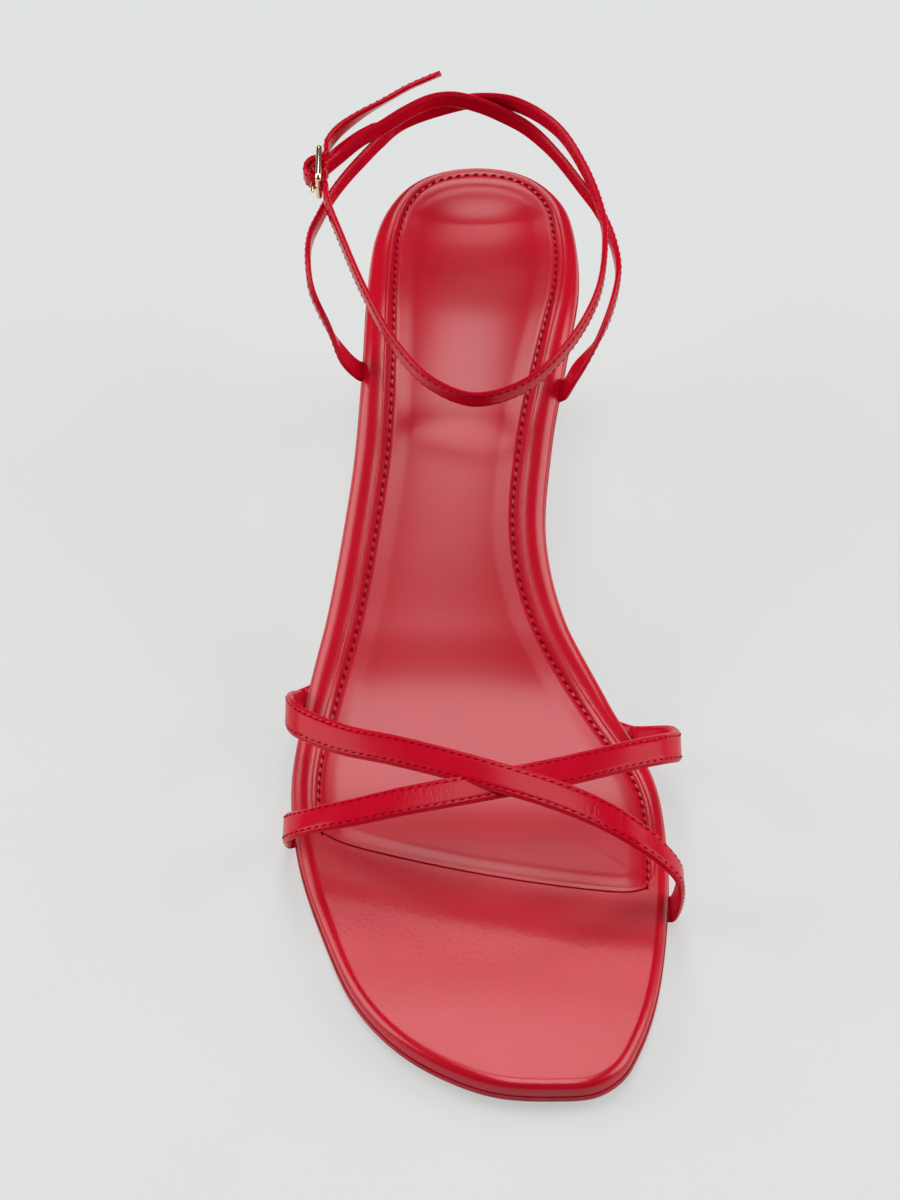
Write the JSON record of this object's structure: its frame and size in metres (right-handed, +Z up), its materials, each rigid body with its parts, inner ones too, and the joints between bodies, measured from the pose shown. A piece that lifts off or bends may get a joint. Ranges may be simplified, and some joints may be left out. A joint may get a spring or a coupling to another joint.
{
  "type": "strappy heeled sandal",
  "caption": "Right-foot heeled sandal with thin straps crossed over the forefoot, a buckled ankle strap that wraps twice, and a slim mid-height heel.",
  "frame": {"origin": "on the floor, under the middle of the shoe's box", "axes": "+Z up, +Y from toe to heel, +X to the big-toe side"},
  "size_m": [0.089, 0.2326, 0.0964],
  "materials": {
    "red_leather": "smooth, softly glossy red leather",
    "sock_leather": "smooth padded red leather, stitched along its edge",
    "sole_leather": "red painted edge, satin",
    "top_piece": "dull dark red",
    "gold": "polished pale gold"
  },
  "bodies": {
    "root": {"outsole": "sole_leather", "footbed": "red_leather", "sock": "sock_leather", "heel": "red_leather", "heel_tip": "top_piece", "forefoot_straps": "red_leather", "ankle_straps": "red_leather", "buckle_frame": "gold", "buckle_prong": "gold"}
  },
  "joints": []
}
